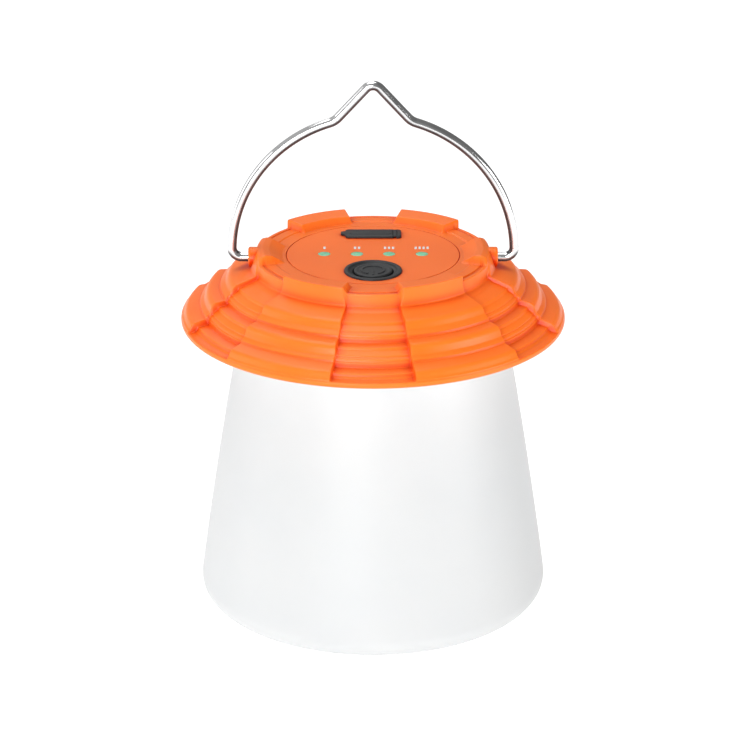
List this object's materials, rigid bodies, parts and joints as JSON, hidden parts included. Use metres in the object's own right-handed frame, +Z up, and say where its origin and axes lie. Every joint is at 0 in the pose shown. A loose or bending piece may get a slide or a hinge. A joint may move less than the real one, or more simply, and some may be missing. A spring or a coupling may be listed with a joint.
{
  "type": "rechargeable lantern",
  "caption": "Rechargeable lantern with a stepped orange cap, a swinging wire bail, a push button, a socket flap and a frosted tapered diffuser that it stands on.",
  "frame": {"origin": "middle of the diffuser's underside, on the surface the lantern stands on", "axes": "+Z up along the lantern's axis, +X along the bail's hinge axis, -Y towards the side where the power button is"},
  "size_m": [0.12, 0.12, 0.1696],
  "materials": {
    "orange_abs": "satin moulded plastic",
    "orange_abs_panel": "finely textured moulded plastic",
    "black_rubber": "matte silicone rubber",
    "green_lens": "translucent plastic",
    "bright_wire": "polished plated steel wire",
    "frosted_white": "frosted translucent plastic",
    "screw_steel": "zinc plated",
    "seal_rubber": "matte",
    "circuit_board": "solder mask",
    "chip_black": "matte",
    "led_package": "phosphor and white package",
    "socket_steel": "stamped",
    "cell_wrap": "shrink wrapped can",
    "nickel": "strip",
    "tray_plastic": "moulded",
    "board_aluminium": "white solder mask",
    "reflector_white": "satin white"
  },
  "bodies": {
    "lantern": {"cap_shell": "orange_abs", "control_panel": "orange_abs_panel", "button_bezel": "black_rubber", "port_cover_anchor": "black_rubber", "indicator_lens_1": "green_lens", "indicator_lens_2": "green_lens", "indicator_lens_3": "green_lens", "indicator_lens_4": "green_lens", "diffuser": "frosted_white", "cap_base": "reflector_white", "base_screws": "screw_steel", "diffuser_gasket": "seal_rubber", "main_board": "circuit_board", "board_parts": "chip_black", "board_screws": "screw_steel", "tactile_switch": "chip_black", "indicator_leds": "led_package", "usb_receptacle": "socket_steel", "battery_cell_1": "cell_wrap", "battery_cell_2": "cell_wrap", "cell_contacts": "nickel", "battery_tray": "tray_plastic", "tray_screws": "screw_steel", "led_board": "board_aluminium", "led_emitters": "led_package", "reflector_plate": "reflector_white", "reflector_screws": "screw_steel"},
    "bail": {"bail": "bright_wire"},
    "button": {"power_button": "black_rubber", "switch_plunger": "chip_black"},
    "port_flap": {"port_cover": "black_rubber"}
  },
  "joints": [
    {"name": "bail_swing", "type": "hinge", "parent": "lantern", "child": "bail", "pos_m": [0, 0, 0.1127], "axis": [1, 0, 0], "range_deg": [-93, 93]},
    {"name": "button_press", "type": "slide", "parent": "lantern", "child": "button", "axis": [0, 0, -1], "range_m": [0, 0.0006], "stiffness_N_per_m": 3000},
    {"name": "port_flap_hinge", "type": "hinge", "parent": "lantern", "child": "port_flap", "pos_m": [0.0069, 0.01805, 0.1144], "axis": [0, 1, 0], "range_deg": [0, 110]}
  ]
}
